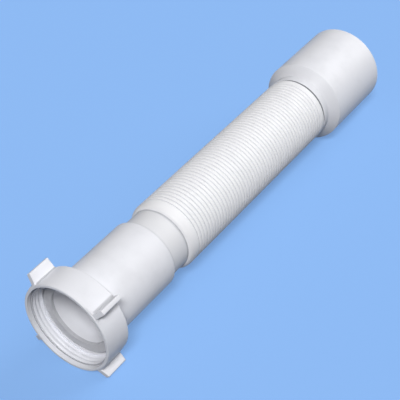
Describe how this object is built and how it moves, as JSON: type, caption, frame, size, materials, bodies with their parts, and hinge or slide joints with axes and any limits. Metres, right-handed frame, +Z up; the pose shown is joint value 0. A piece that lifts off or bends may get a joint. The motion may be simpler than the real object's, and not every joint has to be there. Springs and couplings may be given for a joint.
{
  "type": "corrugated drain pipe",
  "caption": "Flexible corrugated drain connector with a winged union nut on a smooth cuff, a ringed hose and a stepped plain outlet spigot.",
  "frame": {"origin": "middle of the union nut's thread bore, on the pipe's axis", "axes": "+Y along the pipe from the nut's mouth to the outlet, +Z up as it lies on a floor, rolled onto one wing of the nut; -Y is the way a tailpiece leaves the nut"},
  "size_m": [0.0518, 0.2733, 0.0518],
  "materials": {
    "moulded_polypropylene": "white moulded polypropylene, satin",
    "blown_polyethylene": "white blow-moulded polyethylene, satin",
    "seal_elastomer": "white soft rubber, matt"
  },
  "bodies": {
    "inlet": {"inlet_cuff": "moulded_polypropylene", "seal_washer": "seal_elastomer", "corrugated_hose": "blown_polyethylene"},
    "nut": {"union_nut": "moulded_polypropylene"},
    "outlet": {"outlet_spigot": "moulded_polypropylene"}
  },
  "joints": [
    {"name": "nut_spin", "type": "hinge", "parent": "inlet", "child": "nut", "pos_m": [0, 0, 0], "axis": [0, 1, 0], "continuous": true},
    {"name": "hose_stretch", "type": "slide", "parent": "inlet", "child": "outlet", "axis": [0, 1, 0], "range_m": [0, 0.128], "deforming": ["corrugated_hose"]}
  ]
}
